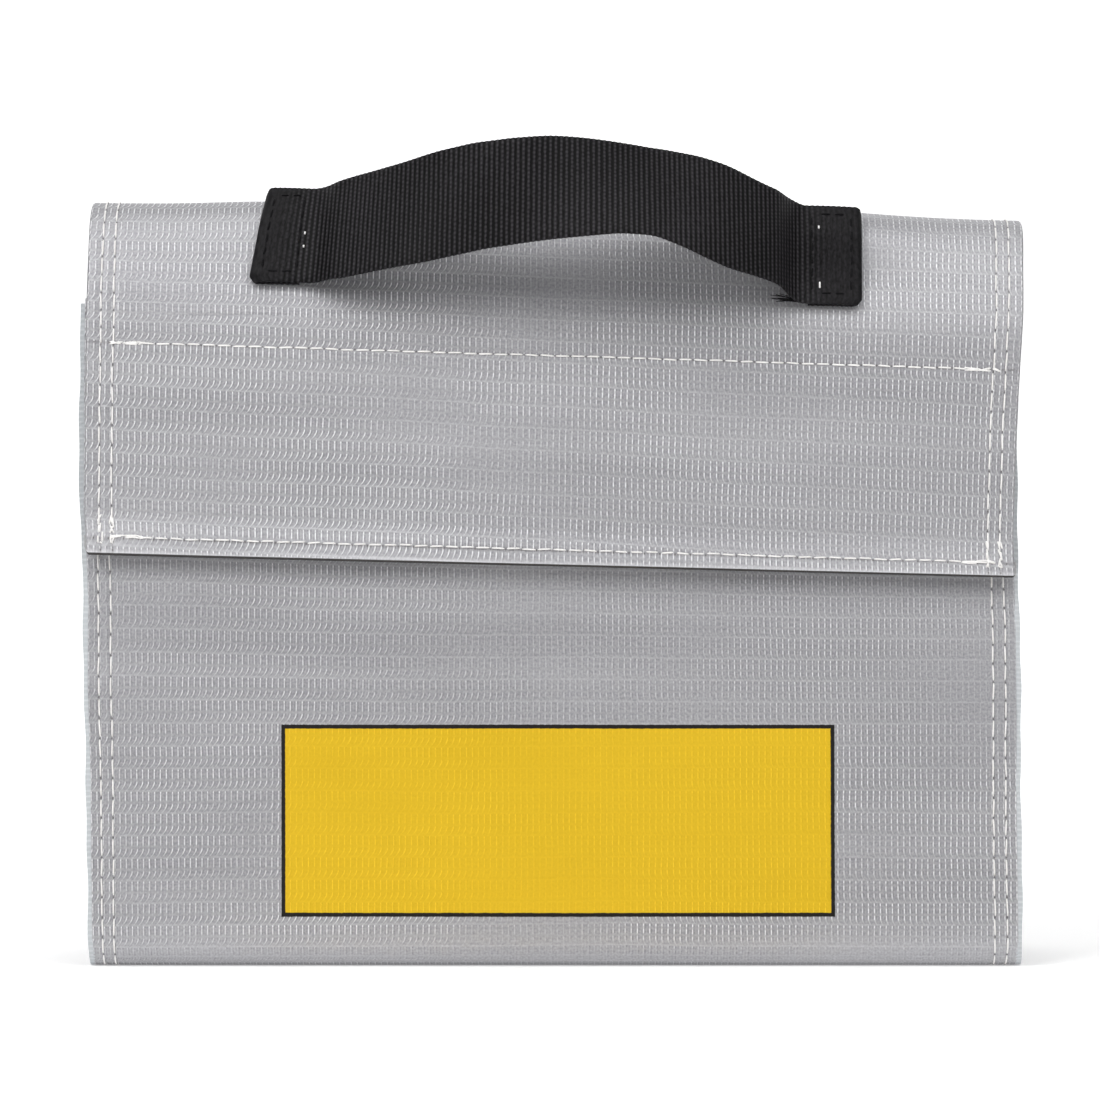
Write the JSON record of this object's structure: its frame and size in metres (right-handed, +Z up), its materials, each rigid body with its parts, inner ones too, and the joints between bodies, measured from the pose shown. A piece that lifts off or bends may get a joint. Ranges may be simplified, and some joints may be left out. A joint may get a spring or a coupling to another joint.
{
  "type": "battery charging pouch",
  "caption": "Soft satchel pouch of silver coated glass cloth, with side gussets, a flap closed by hook and loop tape, and a webbing handle.",
  "frame": {"origin": "middle of the base, on the surface that the bag stands on", "axes": "+X across the front to the viewer's right, +Y from front to back, +Z up"},
  "size_m": [0.24, 0.0755, 0.2037],
  "materials": {
    "coated_cloth": "silver coated glass cloth with a ribbed weave, satin sheen",
    "hook_loop_tape": "black hook and loop pile",
    "pale_thread": "ivory sewing thread",
    "black_thread": "black sewing thread",
    "webbing": "black woven webbing, matt with a slight sheen on the ribs"
  },
  "bodies": {
    "pouch": {"main_panel": "coated_cloth", "left_gusset": "coated_cloth", "right_gusset": "coated_cloth", "loop_tape": "hook_loop_tape", "left_seam_thread": "pale_thread", "right_seam_thread": "pale_thread", "loop_tape_thread": "pale_thread"},
    "crown": {"top_panel": "coated_cloth", "top_hem_thread": "pale_thread", "handle_left_end": "webbing", "handle_right_end": "webbing", "left_end_thread": "black_thread", "right_end_thread": "black_thread"},
    "flap": {"flap_panel": "coated_cloth", "hook_tape": "hook_loop_tape", "flap_hem_thread": "pale_thread", "hook_tape_thread": "pale_thread"},
    "handle": {"handle_grip": "webbing", "handle_left_leg": "webbing", "handle_right_leg": "webbing"}
  },
  "joints": [
    {"name": "crown_fold", "type": "hinge", "parent": "pouch", "child": "crown", "pos_m": [0, 0.018, 0.167], "axis": [-1, 0, 0], "range_deg": [0, 150]},
    {"name": "flap_fold", "type": "hinge", "parent": "crown", "child": "flap", "pos_m": [0, -0.0215, 0.167], "axis": [-1, 0, 0], "range_deg": [0, 100]},
    {"name": "handle_lift", "type": "hinge", "parent": "crown", "child": "handle", "pos_m": [0, -0.01725, 0.1836], "axis": [-1, 0, 0], "range_deg": [0, 60], "deforming": ["handle_left_leg", "handle_right_leg"]}
  ]
}
